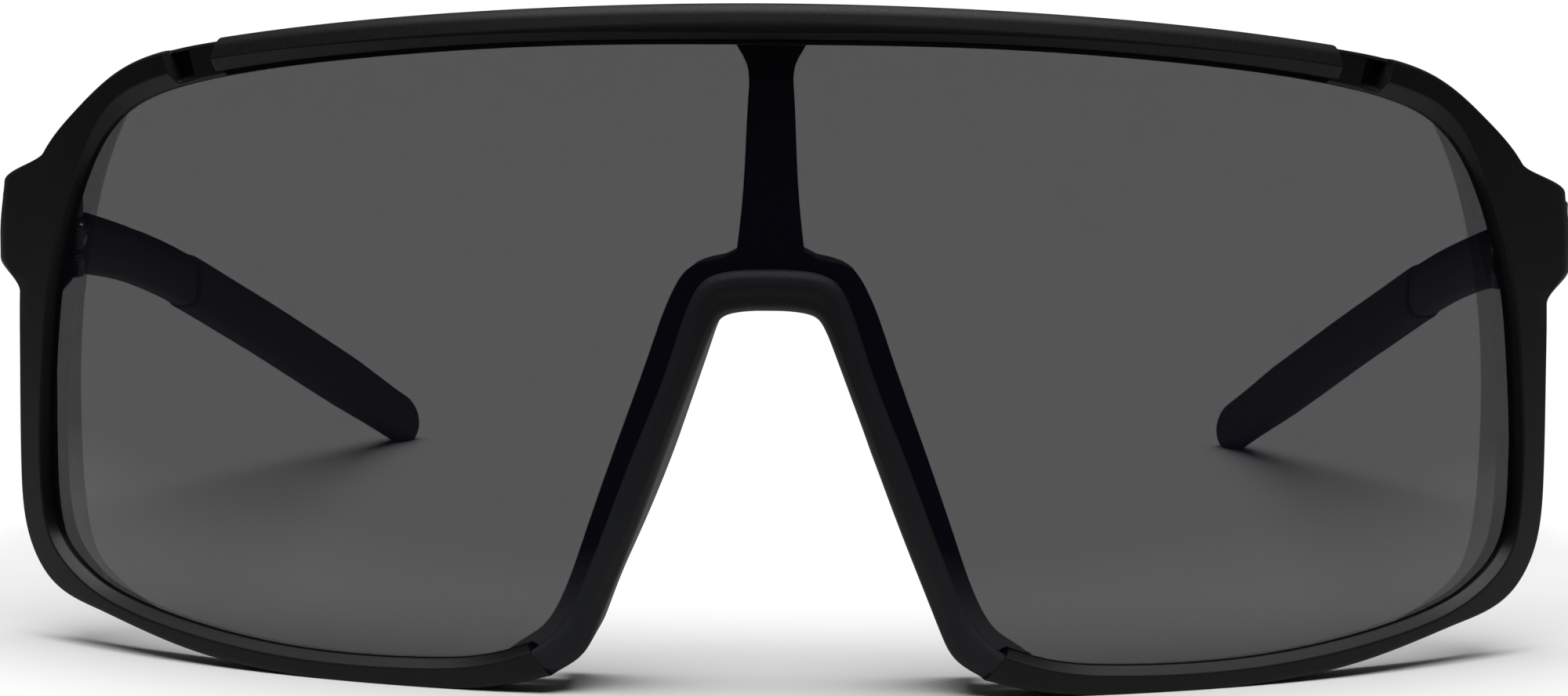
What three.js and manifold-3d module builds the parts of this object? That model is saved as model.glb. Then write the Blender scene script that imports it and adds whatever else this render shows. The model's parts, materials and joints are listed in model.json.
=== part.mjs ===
// Wraparound sport sunglasses: a full-rim front with one shield lens, a brow bar, a rubber nose
// saddle, and two folding temples with rubber grips on screwed metal hinges.
// Millimetres, +Z up. The front faces -Y, and +X is on the right of someone who looks at it.
// The glasses stand open on a table at Z = 0, on the two lower lobes of the rim and the temple tips.
import * as THREE from 'three'
import { mergeVertices } from 'three/addons/utils/BufferGeometryUtils.js'
import Module from 'manifold-3d'

const wasm = await Module()
wasm.setup()

// ---- driving dimensions -------------------------------------------------------------------------
const GAP = 0.3 // clearance between neighbouring pieces
const HINGE_Y = -41.8 // the butt plane between end piece and temple
const FACE_RADIUS = 97 // the front is part of an upright cylinder
const FACE_SETBACK = 53.2 // from the butt plane back to the axis of that cylinder

// The rim's section. A depth is measured from the cylinder towards its axis.
const LIP_THICKNESS = 1.9 // front lip, in front of the lens
const LIP_ROUND = 0.8 // rounding of the lip's outer edge
const BEVEL_WIDTH = 1.5 // sloping inner side of the lip
const BEVEL_DEPTH = 1.3
const WALL_THICKNESS = 1.2 // outer wall, around the lens edge
const RIM_DEPTH_BOTTOM = 4.8
const RIM_DEPTH_TOP = 6.6
const RIM_DEEPENS = [10, 50] // heights between which the lower depth turns into the upper one

const LENS_DEPTH = LIP_THICKNESS + GAP
const LENS_THICKNESS = 1.8
const BACK_DEPTH = LENS_DEPTH + LENS_THICKNESS + GAP // first free depth behind the lens

const BAR_HALF_SPAN = 51
const BAR_PROUD = 0.6 // how far the brow bar stands in front of the rim
const BAR_TOP_BEVEL = 0.9
const BAR_LOW_MARGIN = 0.5 // its lower edge above the lens edge of the rim
const BAR_HIGH_MARGIN = 0.4 // its upper edge above the rim
const POCKET_DEPTH = 1.2 // the recess in the rim that holds the bar
const POCKET_HALF_SPAN = 55
const POCKET_HEIGHT = 8 // taller than the rim, so the pocket is open at the top
const BAR_STEPS = 26

const BAND_THICKNESS = 4 // the nose bridge's band along the arch
const POST_THICKNESS = 2.6
const CLIP_WIDTH = 0.8
const CLIP_FRONT = BACK_DEPTH + 0.7
const CLIP_BACK = BACK_DEPTH + 4.6
const PAD_EDGE_DEPTH = 1.6 // front of the saddle beside the lens
const PAD_RIDGE_DEPTH = 1 // front of the saddle at its ridge
const PAD_NOSE_DEPTH = 2 // front of the saddle beside the nose
const PAD_BACK_DEPTH = 11.5
const PAD_CHAMFER = 0.6

const TEMPLE_WIDTH = 4.4
const TEMPLE_OUTER_X = 73
const BUTT_LOW_Z = 32.4
const BUTT_HIGH_Z = 39
const ARM_WIDTH = 3.4
const ARM_HEIGHT = 5.4
const ARM_SLIMS_BY = 40 // distances behind the butt plane, here and below
const GRIP_START = 56
const GRIP_SWELLS_BY = 106
const TIP_END = 128
const TONGUE_START = 52 // the arm's tongue, inside the grip
const TONGUE_END = 118
const TONGUE = [1.8, 3] // its width and height
const GRIP_WIDTH = 4
const GRIP_HEIGHT = 6
const GRIP_STEP = [0.5, 0.3] // how much wider and taller than the arm the grip starts
const TIP_RADIUS = 3

const HINGE_X = 67.7
const HINGE_Z = 35.7
const BARREL_RADIUS = 1.4
const BORE_RADIUS = 0.75
const PIN_RADIUS = 0.55
const PIN_HEAD_RADIUS = 1.25
const PIN_HEAD_HEIGHT = 0.8
const KNUCKLE = 1.8 // height of an outer knuckle
const MIDDLE_KNUCKLE = 2
const WASHER_THICKNESS = 0.4
const BARREL_ROOM_MARGIN = 1.4 // room above and below the barrel in the plastic
const LEAF_OUTER_X = HINGE_X + 1 - GAP
const LEAF_THICKNESS = 0.9
const LEAF_LENGTH = 4.2
const LEAF_SCREW_RADIUS = 0.6
const LEAF_HEAD_RADIUS = 1.2
const LEAF_HEAD_HEIGHT = 0.6
const LEAF_SCREW_LENGTH = 4
const HEAD_CHAMFER = 0.3

// ---- materials ----------------------------------------------------------------------------------
const finish = (color, roughness, metalness = 0) =>
  new THREE.MeshStandardMaterial({ color, roughness, metalness })
const matteBlack = finish(0x1b1b1d, 0.7)
const glossBlack = finish(0x0b0b0c, 0.15)
const rubberBlack = finish(0x17181b, 0.9)
const darkSteel = finish(0x6a6f78, 0.35, 1)
const darkNylon = finish(0x3a3b3e, 0.6)
const smokeLens = finish(0x55545c, 0.05)
smokeLens.transparent = true
smokeLens.opacity = 0.75

// ---- outlines of the front, as [arc length from the middle, height] on the unrolled cylinder -----
// The rim from the nose end of a lobe, round the side, to the middle of the top.
const RIM_OUTER = [
  [19, 1.6], [23.5, 0.4], [31, -0.2], [44, -0.1], [56, 1.2], [67, 3.4], [74.4, 5.7], [78, 9.6],
  [79.1, 16], [79, 26], [78.3, 36], [75.3, 44.4], [70, 49.2], [63.2, 53], [52.8, 55.5],
  [36, 57.9], [18, 59.3], [0, 59.8],
]
// The edge of the lens that shows inside the rim, point by point beside the outline above.
const RIM_INNER = [
  [21.3, 4.2], [25, 3], [31.5, 2.4], [44, 2.4], [56, 3.6], [65.5, 5.5], [70.6, 7.4],
  [73, 10.3], [74.2, 16.5], [73.6, 26.5], [72, 35.5], [68.8, 43.6], [65, 48.2], [59.4, 51.2],
  [50, 53.2], [35.5, 55.2], [18, 56.4], [0, 56.7],
]
const LENS_FIRST_POINT = 1 // where the lens starts to follow the rim's wall
const SIDE_POINT = 9 // the point half way up the side
const TOP_FIRST_POINT = 12 // where the top starts

// The nose arch, from the lobe to the middle: the band behind the lens, the cut edge of the lens,
// and the nose side of the rubber saddle.
const ARCH_BAND = [
  [20.6, 4.9], [18.8, 7.3], [16.7, 12.5], [14, 20.6], [10.9, 29.8], [8.8, 35.2], [5.5, 37.7], [0, 38],
]
const ARCH_LENS = [
  [19.8, 3.6], [17.4, 6.2], [14.9, 12.5], [12, 20.3], [8.1, 29.6], [6.2, 34], [3.6, 36.1], [0, 36.5],
]
const ARCH_NOSE = [
  [18.4, 2], [15.7, 5], [12.6, 12.5], [9.4, 20.4], [5.8, 29.8], [4.6, 32.4], [2.6, 33.5], [0, 33.7],
]
// Half widths of the centre post at its heights.
const POST = [[3.3, 38], [2.75, 41], [2.2, 47], [1.95, 54.6], [3.2, 57]]

// Centre line of a temple behind the butt plane, as [X, distance back, height].
const TEMPLE_LINE = [
  [70.8, 0, 35.7], [70.3, 14, 34], [69.1, 28, 32], [67.4, 42, 29.4], [65.4, 56, 26],
  [63, 70, 21.9], [60.2, 84, 17.5], [57.2, 98, 12.8], [53.9, 112, 7.9], [49, 128, 1.4],
]

// The end piece that carries the hinge, for the right side, with Y from the butt plane.
const END_PLAN = [
  [69.8, -13.4], [71.6, -11], [72.6, -8.5], [TEMPLE_OUTER_X, -5.5], [TEMPLE_OUTER_X, -GAP / 2],
  [LEAF_OUTER_X + GAP, -GAP / 2], [LEAF_OUTER_X + GAP, -5.8], [65.4, -9.4],
]
const END_SIDE_VIEW = [
  [-16, 31], [-6, 31.6], [0, BUTT_LOW_Z], [0, BUTT_HIGH_Z], [-5, 41.4], [-10, 43], [-16, 44],
]
const END_FRONT_VIEW = [
  [60, 28], [69, 31.4], [71.4, 32.2], [TEMPLE_OUTER_X, 33.6], [TEMPLE_OUTER_X, 39], [72.4, 41],
  [70, 42.8], [67, 46], [60, 46],
]
const END_BLANK = 80 // size of the blanks that the three views of the end piece are cut from

// ---- geometry helpers ---------------------------------------------------------------------------
const { lerp, smoothstep, degToRad } = THREE.MathUtils

const flat = (points) => points.map(([x, y]) => new THREE.Vector2(x, y))

const onFace = (arc, height, depth) => {
  const angle = arc / FACE_RADIUS
  const radius = FACE_RADIUS - depth
  const centreY = HINGE_Y + FACE_SETBACK
  return new THREE.Vector3(radius * Math.sin(angle), centreY - radius * Math.cos(angle), height)
}

const signedVolume = (positions, triangles) => {
  const corner = (i) => new THREE.Vector3().fromArray(positions, triangles[i] * 3)
  let volume = 0
  for (let i = 0; i < triangles.length; i += 3) {
    volume += corner(i).dot(corner(i + 1).cross(corner(i + 2))) / 6
  }
  return volume
}

const closedGeometry = (positions, triangles) => {
  const outward = signedVolume(positions, triangles) > 0 ? triangles : [...triangles].reverse()
  const geometry = new THREE.BufferGeometry()
  geometry.setAttribute('position', new THREE.Float32BufferAttribute(positions, 3))
  geometry.setIndex(outward)
  return geometry
}

// Skins a row of equal rings of points and closes both ends. `section` is the flat outline of a
// ring, used to cut the end caps into triangles.
const loft = (rings, section) => {
  const count = rings[0].length
  const positions = rings.flat().flatMap((point) => point.toArray())
  const triangles = []
  for (let ring = 0; ring < rings.length - 1; ring += 1) {
    for (let i = 0; i < count; i += 1) {
      const a = ring * count + i
      const b = ring * count + ((i + 1) % count)
      triangles.push(a, b, b + count, a, b + count, a + count)
    }
  }
  const cap = THREE.ShapeUtils.triangulateShape(section, [])
  const clockwise = THREE.ShapeUtils.isClockWise(section)
  const last = (rings.length - 1) * count
  for (const [a, b, c] of cap) {
    const face = clockwise ? [a, b, c] : [a, c, b]
    triangles.push(...face)
    triangles.push(last + face[0], last + face[2], last + face[1])
  }
  return closedGeometry(positions, triangles)
}

const toSolid = (geometry) => {
  const bare = geometry.clone()
  bare.deleteAttribute('normal')
  bare.deleteAttribute('uv')
  const merged = mergeVertices(bare, 1e-4)
  return new wasm.Manifold(new wasm.Mesh({
    numProp: 3,
    vertProperties: new Float32Array(merged.attributes.position.array),
    triVerts: new Uint32Array(merged.index.array),
  }))
}

const toGeometry = (solid) => {
  const mesh = solid.getMesh()
  const geometry = new THREE.BufferGeometry()
  geometry.setAttribute('position', new THREE.Float32BufferAttribute(mesh.vertProperties, 3))
  geometry.setIndex(new THREE.Uint32BufferAttribute(mesh.triVerts, 1))
  return geometry
}

const box = (low, high) => {
  const size = high.map((value, axis) => value - low[axis])
  const middle = high.map((value, axis) => (value + low[axis]) / 2)
  return toSolid(new THREE.BoxGeometry(...size).translate(...middle))
}

// An upright cylinder between two heights.
const upright = (radius, low, high, x, y, sides = 14) =>
  toSolid(new THREE.CylinderGeometry(radius, radius, high - low, sides)
    .rotateX(Math.PI / 2).translate(x, y, (low + high) / 2))

// A cylinder along X.
const sideways = (radius, from, to, y, z, sides = 10) =>
  toSolid(new THREE.CylinderGeometry(radius, radius, Math.abs(to - from), sides)
    .rotateZ(Math.PI / 2).translate((from + to) / 2, y, z))

// Extrudes a flat outline of [x, y] points between two heights.
const slab = (outline, low, high) =>
  new THREE.ExtrudeGeometry(new THREE.Shape(flat(outline)), { depth: high - low, bevelEnabled: false })
    .translate(0, 0, low)

const spline = (points) => new THREE.SplineCurve(flat(points))

const mirrored = (points) => points.map(({ x, y }) => new THREE.Vector2(-x, y))

// A half outline and its mirror image, as one run from the left end to the right.
const fullRun = (points, stepsPerSpan) => {
  const half = spline(points).getPoints((points.length - 1) * stepsPerSpan)
  return [...mirrored(half), ...half.slice(0, -1).reverse()]
}

const resample = (points, count) => new THREE.Path().setFromPoints(points).getSpacedPoints(count)

const evenly = (from, to, steps) =>
  Array.from({ length: steps + 1 }, (_, i) => from + ((to - from) * i) / steps)

const SIDES = [-1, 1]
const TABLE = box([-100, -100, -10], [100, 150, 0])

// ---- hinge places, and the room that they need in the plastic -----------------------------------
const middleLow = HINGE_Z - MIDDLE_KNUCKLE / 2
const middleHigh = HINGE_Z + MIDDLE_KNUCKLE / 2
const washerRoom = WASHER_THICKNESS + 2 * GAP
const barrelLow = middleLow - washerRoom - KNUCKLE
const barrelHigh = middleHigh + washerRoom + KNUCKLE

const onHinge = (side, radius, low, high, sides) => upright(radius, low, high, side * HINGE_X, HINGE_Y, sides)

const barrelRoom = (side) =>
  onHinge(side, BARREL_RADIUS + GAP, barrelLow - BARREL_ROOM_MARGIN, barrelHigh + BARREL_ROOM_MARGIN)

// `end` is -1 on the front and 1 on the temple.
const leafMiddleY = (end) => HINGE_Y + end * (BARREL_RADIUS + LEAF_LENGTH / 2)

const leafScrewHole = (side, end, fromX, toX) =>
  sideways(LEAF_SCREW_RADIUS + GAP, side * fromX, side * toX, leafMiddleY(end), HINGE_Z)

const plasticScrewHole = (side, end) => leafScrewHole(side, end, HINGE_X - 1, HINGE_X + LEAF_SCREW_LENGTH)

// ---- brow bar -----------------------------------------------------------------------------------
// Height of the top part of a rim outline at an arc length.
const heightAt = (points, arc) => {
  const run = spline(points.slice(TOP_FIRST_POINT)).getPoints(120)
  const i = run.findIndex((point) => point.x <= Math.abs(arc))
  const [a, b] = [run[i - 1] ?? run[i], run[i]]
  const share = a.x === b.x ? 0 : (a.x - Math.abs(arc)) / (a.x - b.x)
  return lerp(a.y, b.y, share)
}
const barLow = (arc) => heightAt(RIM_INNER, arc) + BAR_LOW_MARGIN
const barHigh = (arc) => heightAt(RIM_OUTER, arc) + BAR_HIGH_MARGIN

// Lofts a section of [height, depth] points, given from an arc length, along the top of the rim.
const alongTop = (halfSpan, sectionAt) => {
  const rings = evenly(-halfSpan, halfSpan, BAR_STEPS).map((arc) =>
    sectionAt(arc).map(([height, depth]) => onFace(arc, height, depth)))
  return loft(rings, flat(sectionAt(0)))
}

const browBar = () => alongTop(BAR_HALF_SPAN, (arc) => {
  const [low, high] = [barLow(arc), barHigh(arc)]
  const back = POCKET_DEPTH - GAP
  const bevelBack = 0.4
  return [
    [low, 0], [low + 0.3, -BAR_PROUD], [high - BAR_TOP_BEVEL, -BAR_PROUD], [high, bevelBack],
    [high, back], [low, back],
  ]
})

const barPocket = () => alongTop(POCKET_HALF_SPAN, (arc) => {
  const low = barLow(arc) - GAP
  const high = low + POCKET_HEIGHT
  return [[low, -2], [high, -2], [high, POCKET_DEPTH], [low, POCKET_DEPTH]]
})

// ---- front frame --------------------------------------------------------------------------------
// Section of the rim at one station: lip with its inner bevel, seat of the lens, outer wall.
const rimSection = (width, depth) => [
  [0, 0.9], [LIP_ROUND, 0], [width - BEVEL_WIDTH, 0], [width, BEVEL_DEPTH], [width, LIP_THICKNESS],
  [WALL_THICKNESS, LIP_THICKNESS], [WALL_THICKNESS, depth], [0, depth],
]

// Places a section of [distance across, depth] points between two points of the front's outlines.
const across = (from, to, section) => {
  const direction = to.clone().sub(from).normalize()
  return section.map(([u, depth]) => onFace(from.x + direction.x * u, from.y + direction.y * u, depth))
}

const rimRing = (outer, inner) => {
  const depth = lerp(RIM_DEPTH_BOTTOM, RIM_DEPTH_TOP, smoothstep(outer.y, ...RIM_DEEPENS))
  return across(outer, inner, rimSection(outer.distanceTo(inner), depth))
}

const endPiece = (side) => {
  const plan = END_PLAN.map(([x, y]) => [side * x, HINGE_Y + y])
  const sideView = END_SIDE_VIEW.map(([y, z]) => [HINGE_Y + y, z])
  const frontView = END_FRONT_VIEW.map(([x, z]) => [side * x, z])
  const alongZ = slab(plan, 28, 46)
  const alongX = slab(sideView, -END_BLANK, END_BLANK).rotateY(Math.PI / 2).rotateX(Math.PI / 2)
  const alongY = slab(frontView, -20, END_BLANK).rotateX(Math.PI / 2)
  return toSolid(alongZ).intersect(toSolid(alongX)).intersect(toSolid(alongY))
}

const frontFrame = () => {
  const inner = fullRun(RIM_INNER, 3)
  const rings = fullRun(RIM_OUTER, 3).map((point, i) => rimRing(point, inner[i]))
  let solid = toSolid(loft(rings, flat(rimSection(5, RIM_DEPTH_TOP))))
  solid = solid.subtract(toSolid(barPocket()))
  for (const side of SIDES) {
    solid = solid.add(endPiece(side)).subtract(barrelRoom(side)).subtract(plasticScrewHole(side, -1))
  }
  return toGeometry(solid.subtract(TABLE))
}

// ---- lens ---------------------------------------------------------------------------------------
// The edge of the lens in the rim, a gap inside the rim's wall, between two points of the outline.
const lensEdge = (first, last) => {
  const steps = 4
  const outer = spline(RIM_OUTER).getPoints((RIM_OUTER.length - 1) * steps)
  const inner = spline(RIM_INNER).getPoints((RIM_INNER.length - 1) * steps)
  const edge = outer.map((point, i) => {
    const direction = inner[i].clone().sub(point).normalize()
    return point.clone().addScaledVector(direction, WALL_THICKNESS + GAP)
  })
  return edge.slice(first * steps, last * steps + 1)
}

// The lens is skinned from upright strips between its lower and its upper edge.
const shieldLens = () => {
  const strips = 44
  const arch = spline(ARCH_LENS).getPoints(40).reverse()
  const low = resample([...arch, ...lensEdge(LENS_FIRST_POINT, SIDE_POINT)], strips)
  const high = resample(lensEdge(SIDE_POINT, RIM_OUTER.length - 1).reverse(), strips)
  const wholeEdge = (half) => [...mirrored(half.slice(1).reverse()), ...half].slice(1, -1)
  const highEdge = wholeEdge(high)
  const back = LENS_DEPTH + LENS_THICKNESS
  const rings = wholeEdge(low).map((point, i) => [
    onFace(point.x, point.y, LENS_DEPTH), onFace(highEdge[i].x, highEdge[i].y, LENS_DEPTH),
    onFace(highEdge[i].x, highEdge[i].y, back), onFace(point.x, point.y, back),
  ])
  return loft(rings, flat([[0, 0], [1, 0], [1, 1], [0, 1]]))
}

// ---- nose bridge, clip and saddle ---------------------------------------------------------------
// Lofts a section of [distance across, depth] points along the arch, between two of its outlines.
const archLoft = (sectionAt, nearPoints, farPoints) => {
  const far = fullRun(farPoints, 3)
  const rings = fullRun(nearPoints, 3).map((point, i) =>
    across(point, far[i], sectionAt(point.distanceTo(far[i]))))
  return loft(rings, flat(sectionAt(3)))
}

const noseBridge = () => {
  const bandBack = BACK_DEPTH + BAND_THICKNESS
  const band = archLoft((width) => [
    [0, BACK_DEPTH], [width, BACK_DEPTH], [width, bandBack], [0, bandBack],
  ], ARCH_BAND, ARCH_LENS)
  const postBack = BACK_DEPTH + POST_THICKNESS
  const postRings = spline(POST).getPoints(16).map(({ x: half, y: height }) => [
    onFace(-half, height, BACK_DEPTH), onFace(half, height, BACK_DEPTH),
    onFace(half, height, postBack), onFace(-half, height, postBack),
  ])
  return toGeometry(toSolid(band).add(toSolid(loft(postRings, flat([[0, 0], [1, 0], [1, 1], [0, 1]])))))
}

const nosePadClip = () => archLoft(() => [
  [GAP, CLIP_FRONT], [GAP + CLIP_WIDTH, CLIP_FRONT], [GAP + CLIP_WIDTH, CLIP_BACK], [GAP, CLIP_BACK],
], ARCH_LENS, ARCH_NOSE)

// The saddle wraps the front, nose side and back of the clip.
const nosePad = () => archLoft((width) => [
  [GAP, PAD_EDGE_DEPTH], [width - PAD_CHAMFER, PAD_RIDGE_DEPTH], [width, PAD_NOSE_DEPTH],
  [width - PAD_CHAMFER, PAD_BACK_DEPTH], [GAP, PAD_BACK_DEPTH], [GAP, CLIP_BACK + GAP],
  [CLIP_WIDTH + 2 * GAP, CLIP_BACK + GAP], [CLIP_WIDTH + 2 * GAP, CLIP_FRONT - GAP],
  [GAP, CLIP_FRONT - GAP],
], ARCH_LENS, ARCH_NOSE)

// ---- temples ------------------------------------------------------------------------------------
// Rounded section of a temple, `width` across and `height` tall, about its middle.
const roundSection = (width, height) => {
  const corners = 10
  const squareness = 0.6
  const squared = (value) => Math.sign(value) * Math.abs(value) ** squareness
  return Array.from({ length: corners }, (_, i) => {
    const angle = (2 * Math.PI * (i + 0.5)) / corners
    return new THREE.Vector2(squared(Math.cos(angle)) * width / 2, squared(Math.sin(angle)) * height / 2)
  })
}

const templeCurve = new THREE.CatmullRomCurve3(TEMPLE_LINE.map((point) => new THREE.Vector3(...point)))

// The point of the temple's centre line at a distance behind the butt plane, found by halving.
const templeCentre = (back) => {
  let [low, high] = [0, 1]
  for (let i = 0; i < 30; i += 1) {
    const middle = (low + high) / 2
    if (templeCurve.getPoint(middle).y < back) low = middle
    else high = middle
  }
  return templeCurve.getPoint(low)
}

// Lofts rounded sections along the temple; `sizeAt` gives [width, height] at a distance back.
const templeLoft = (side, stations, sizeAt) => {
  const rings = stations.map((back) => {
    const centre = templeCentre(back)
    return roundSection(...sizeAt(back)).map(({ x, y }) =>
      new THREE.Vector3(side * (centre.x + x), HINGE_Y + back, centre.z + y))
  })
  return loft(rings, roundSection(GRIP_WIDTH, GRIP_HEIGHT))
}

const armSize = (back) => {
  const slimmed = smoothstep(back, 0, ARM_SLIMS_BY)
  return [
    lerp(TEMPLE_WIDTH, ARM_WIDTH, slimmed),
    lerp(BUTT_HIGH_Z - BUTT_LOW_Z, ARM_HEIGHT, slimmed),
  ]
}

const gripSize = (back) => {
  const pastRound = Math.max(0, back - (TIP_END - TIP_RADIUS)) / TIP_RADIUS
  const roundEnd = Math.sqrt(1 - pastRound ** 2)
  const swell = smoothstep(back, GRIP_START, GRIP_SWELLS_BY)
  return [
    lerp(ARM_WIDTH + GRIP_STEP[0], GRIP_WIDTH, swell) * roundEnd,
    lerp(ARM_HEIGHT + GRIP_STEP[1], GRIP_HEIGHT, swell) * roundEnd,
  ]
}

const templeArm = (side) => {
  const shaft = templeLoft(side, evenly(GAP / 2, GRIP_START - GAP, 14), armSize)
  const tongue = templeLoft(side, evenly(TONGUE_START, TONGUE_END, 10), () => TONGUE)
  return toGeometry(toSolid(shaft).add(toSolid(tongue))
    .subtract(barrelRoom(side))
    .subtract(plasticScrewHole(side, 1)))
}

const templeGrip = (side) => {
  const roundFrom = TIP_END - TIP_RADIUS
  const roundStations = [30, 55, 72, 84].map((angle) => roundFrom + TIP_RADIUS * Math.sin(degToRad(angle)))
  const stations = [...evenly(GRIP_START, roundFrom, 14), ...roundStations]
  const holeSize = TONGUE.map((value) => value + 2 * GAP)
  const hole = templeLoft(side, evenly(GRIP_START - 1, TONGUE_END + GAP, 10), () => holeSize)
  return toGeometry(toSolid(templeLoft(side, stations, gripSize)).subtract(toSolid(hole)).subtract(TABLE))
}

// ---- hinges -------------------------------------------------------------------------------------
// A leaf is a plate with its knuckles: two outer ones on the front, a middle one on the temple.
const hingeLeaf = (side, end) => {
  const xs = [side * (LEAF_OUTER_X - LEAF_THICKNESS), side * LEAF_OUTER_X].sort((a, b) => a - b)
  const ys = [HINGE_Y, HINGE_Y + end * (BARREL_RADIUS + LEAF_LENGTH)].sort((a, b) => a - b)
  const room = (from, to) => onHinge(side, BARREL_RADIUS + GAP, from, to)
  let solid = box([xs[0], ys[0], barrelLow], [xs[1], ys[1], barrelHigh])
  solid = solid.add(onHinge(side, BARREL_RADIUS, barrelLow, barrelHigh))
  if (end < 0) {
    solid = solid.subtract(room(middleLow - washerRoom, middleHigh + washerRoom))
  } else {
    solid = solid.subtract(room(barrelLow - 1, middleLow)).subtract(room(middleHigh, barrelHigh + 1))
  }
  solid = solid.subtract(onHinge(side, BORE_RADIUS, barrelLow - 1, barrelHigh + 1, 12))
  const hole = leafScrewHole(side, end, LEAF_OUTER_X - LEAF_THICKNESS - 1, LEAF_OUTER_X + 1)
  return toGeometry(solid.subtract(hole))
}

const hingeScrew = (side) => {
  const headLow = barrelHigh + GAP
  const headHigh = headLow + PIN_HEAD_HEIGHT
  const profile = [
    [0, barrelLow], [PIN_RADIUS, barrelLow], [PIN_RADIUS, headLow], [PIN_HEAD_RADIUS, headLow],
    [PIN_HEAD_RADIUS, headHigh - HEAD_CHAMFER], [PIN_HEAD_RADIUS - HEAD_CHAMFER, headHigh], [0, headHigh],
  ]
  return new THREE.LatheGeometry(flat(profile), 10).rotateX(Math.PI / 2).translate(side * HINGE_X, HINGE_Y, 0)
}

const hingeWasher = (side, low) => {
  const high = low + WASHER_THICKNESS
  const bore = onHinge(side, BORE_RADIUS, low - 1, high + 1, 12)
  return toGeometry(onHinge(side, BARREL_RADIUS, low, high).subtract(bore))
}

const leafScrew = (side, end) => {
  const head = LEAF_OUTER_X - LEAF_THICKNESS - GAP
  const top = head - LEAF_HEAD_HEIGHT
  const tip = head + LEAF_SCREW_LENGTH
  const profile = [
    [0, top], [LEAF_HEAD_RADIUS - HEAD_CHAMFER, top], [LEAF_HEAD_RADIUS, top + HEAD_CHAMFER],
    [LEAF_HEAD_RADIUS, head], [LEAF_SCREW_RADIUS, head], [LEAF_SCREW_RADIUS, tip], [0, tip],
  ]
  return new THREE.LatheGeometry(flat(profile), 10)
    .rotateZ(-side * Math.PI / 2)
    .translate(0, leafMiddleY(end), HINGE_Z)
}

// ---- the object ---------------------------------------------------------------------------------
const glasses = new THREE.Group()
const add = (name, geometry, material) => {
  const mesh = new THREE.Mesh(geometry, material)
  mesh.name = name
  glasses.add(mesh)
}

add('front_frame', frontFrame(), matteBlack)
add('brow_bar', browBar(), matteBlack)
add('shield_lens', shieldLens(), smokeLens)
add('nose_bridge', noseBridge(), glossBlack)
add('nose_pad_clip', nosePadClip(), glossBlack)
add('nose_pad', nosePad(), rubberBlack)
for (const side of SIDES) {
  const name = side < 0 ? 'left' : 'right'
  add(`${name}_hinge_front_leaf`, hingeLeaf(side, -1), darkSteel)
  add(`${name}_hinge_temple_leaf`, hingeLeaf(side, 1), darkSteel)
  add(`${name}_hinge_screw`, hingeScrew(side), darkSteel)
  add(`${name}_hinge_washer_lower`, hingeWasher(side, middleLow - GAP - WASHER_THICKNESS), darkNylon)
  add(`${name}_hinge_washer_upper`, hingeWasher(side, middleHigh + GAP), darkNylon)
  add(`${name}_front_leaf_screw`, leafScrew(side, -1), darkSteel)
  add(`${name}_temple_leaf_screw`, leafScrew(side, 1), darkSteel)
  add(`${name}_temple_arm`, templeArm(side), matteBlack)
  add(`${name}_temple_grip`, templeGrip(side), rubberBlack)
}

export default glasses
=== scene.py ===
"""Wraparound sport sunglasses: fine surfaces, materials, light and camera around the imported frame.

Outlines and sections are in millimetres, and make_object() turns them into metres. The front faces
-Y and is part of an upright cylinder, so its outlines are [arc length from the middle, height] and
its sections are (distance across, depth behind that cylinder). The floor is at Z = 0.
"""
import json
import math

import bmesh
import bpy
import numpy as np
from mathutils import Euler, Matrix, Vector
from mathutils.geometry import delaunay_2d_cdt


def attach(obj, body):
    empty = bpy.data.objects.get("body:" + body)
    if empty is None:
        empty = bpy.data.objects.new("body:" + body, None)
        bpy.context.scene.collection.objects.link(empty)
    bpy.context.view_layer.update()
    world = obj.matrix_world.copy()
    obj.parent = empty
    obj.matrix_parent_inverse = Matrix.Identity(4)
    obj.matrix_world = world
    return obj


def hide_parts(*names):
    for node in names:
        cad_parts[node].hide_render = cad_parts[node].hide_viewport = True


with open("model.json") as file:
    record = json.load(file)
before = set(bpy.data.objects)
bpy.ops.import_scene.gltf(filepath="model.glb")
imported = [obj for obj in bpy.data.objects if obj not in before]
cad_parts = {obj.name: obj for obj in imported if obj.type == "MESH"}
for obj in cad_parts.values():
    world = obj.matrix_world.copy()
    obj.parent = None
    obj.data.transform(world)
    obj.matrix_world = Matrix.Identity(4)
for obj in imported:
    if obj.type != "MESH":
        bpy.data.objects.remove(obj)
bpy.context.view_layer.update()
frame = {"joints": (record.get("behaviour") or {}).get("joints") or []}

MM = 0.001
SIDES = {"left": -1, "right": 1}

# ---- driving dimensions, in millimetres ----------------------------------------------------------
HINGE_AT = {joint["child"]: joint["pos_m"] for joint in frame["joints"]}
HINGE_X, HINGE_Y, HINGE_Z = (value / MM for value in HINGE_AT["right_temple"])
FACE_RADIUS = 97.0
FACE_CENTRE_Y = HINGE_Y + 53.2

LIP_THICKNESS = 1.65
BEVEL_DEPTH = 1.0
WALL_THICKNESS = 1.2
WALL_BACK = 0.5  # the wall's thickness at its back edge, where it is drafted
RIM_DEPTH_LOW = 4.0
RIM_DEPTH_TOP = 6.6
LENS_FRONT = 1.7
LENS_BACK = 3.5
BACK_DEPTH = 3.8
BAND_BACK = 8.3
POST_BACK = 6.9

BAR_HALF_SPAN = 51.9
BAR_PROUD = 0.6
BAR_BACK = 0.9
POCKET_DEPTH = 1.2
STEP_DEPTH = 0.75
DIMPLE_DEPTH = 1.5
DIMPLE_SPAN = (55.5, 57.7)
POCKET_END = 57.8

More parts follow.
